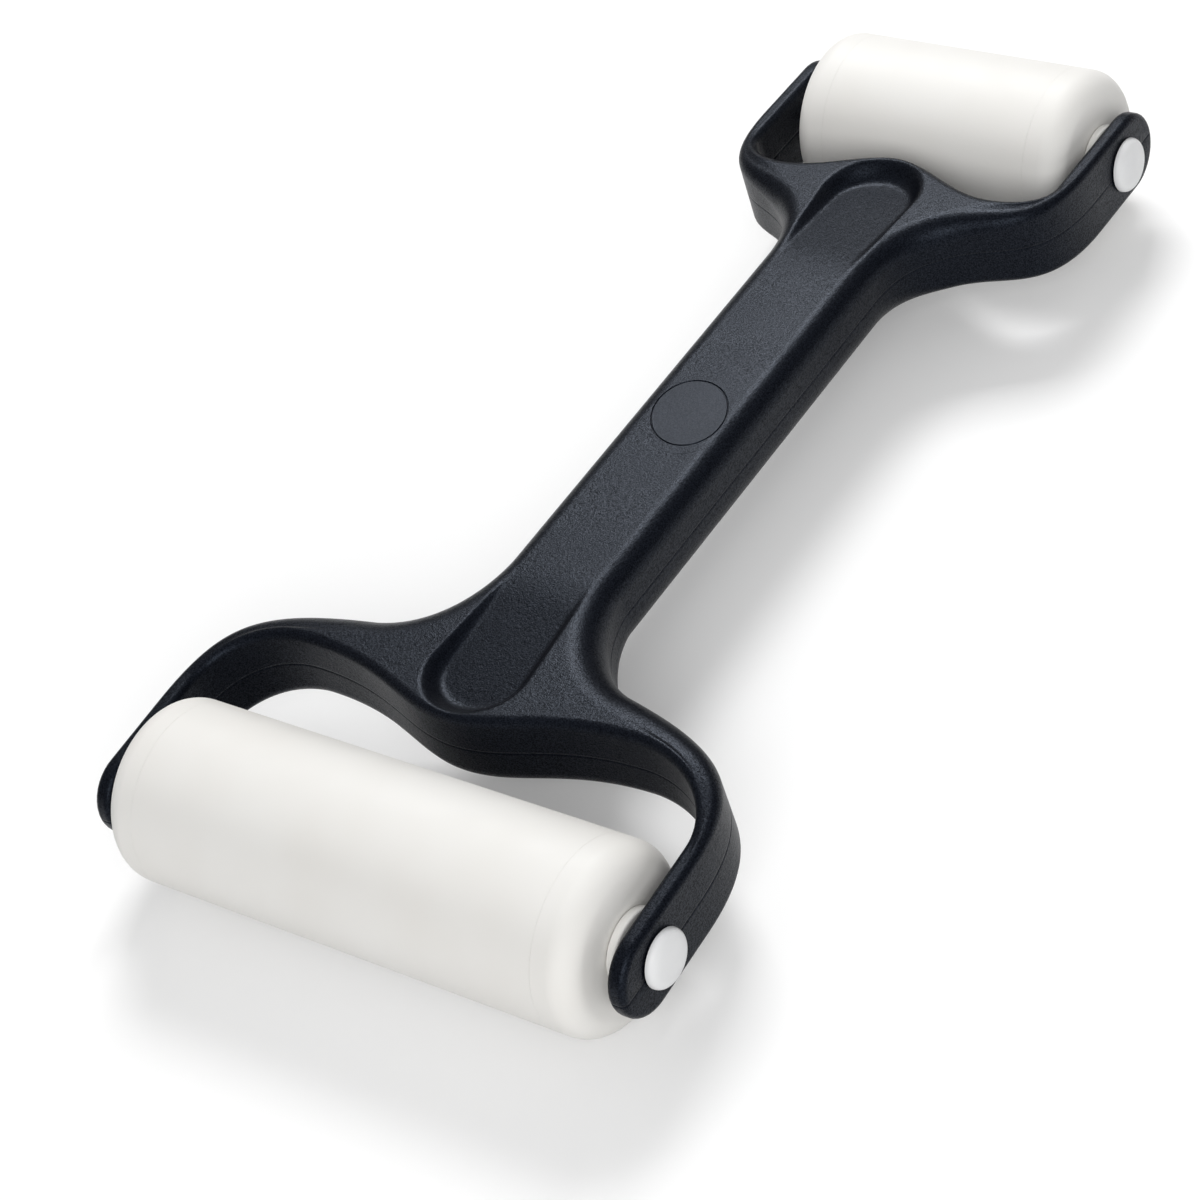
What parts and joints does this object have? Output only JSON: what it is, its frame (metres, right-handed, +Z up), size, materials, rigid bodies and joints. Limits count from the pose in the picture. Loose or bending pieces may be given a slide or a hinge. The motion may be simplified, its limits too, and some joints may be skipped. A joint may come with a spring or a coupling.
{
  "type": "double dough roller",
  "caption": "Hand dough roller with a wide white roller in a yoke at one end of a dark moulded handle and a narrow one at the other end.",
  "frame": {"origin": "on the table under the tool's middle, halfway between the two axles, with both rollers on the table", "axes": "+X along the axles, +Y from the wide roller's end to the narrow roller's end, +Z up"},
  "size_m": [0.1298, 0.2556, 0.0367],
  "materials": {
    "frame_plastic": "fine-grained satin moulding",
    "roller_plastic": "smooth matte, food-safe white",
    "button_plastic": "smooth satin white",
    "axle_steel": "drawn rod"
  },
  "bodies": {
    "frame": {"frame": "frame_plastic", "wide_axle": "axle_steel", "wide_axle_button_left": "button_plastic", "wide_axle_button_right": "button_plastic", "narrow_axle": "axle_steel", "narrow_axle_button_left": "button_plastic", "narrow_axle_button_right": "button_plastic"},
    "wide_roller": {"wide_barrel": "roller_plastic", "wide_end_cap_left": "roller_plastic", "wide_end_cap_right": "roller_plastic", "wide_bush_left": "roller_plastic", "wide_bush_right": "roller_plastic"},
    "narrow_roller": {"narrow_barrel": "roller_plastic", "narrow_end_cap_left": "roller_plastic", "narrow_end_cap_right": "roller_plastic", "narrow_bush_left": "roller_plastic", "narrow_bush_right": "roller_plastic"}
  },
  "joints": [
    {"name": "wide_roller_spin", "type": "hinge", "parent": "frame", "child": "wide_roller", "pos_m": [0, -0.1095, 0.01835], "axis": [1, 0, 0], "continuous": true},
    {"name": "narrow_roller_spin", "type": "hinge", "parent": "frame", "child": "narrow_roller", "pos_m": [0, 0.1095, 0.01835], "axis": [1, 0, 0], "continuous": true}
  ]
}
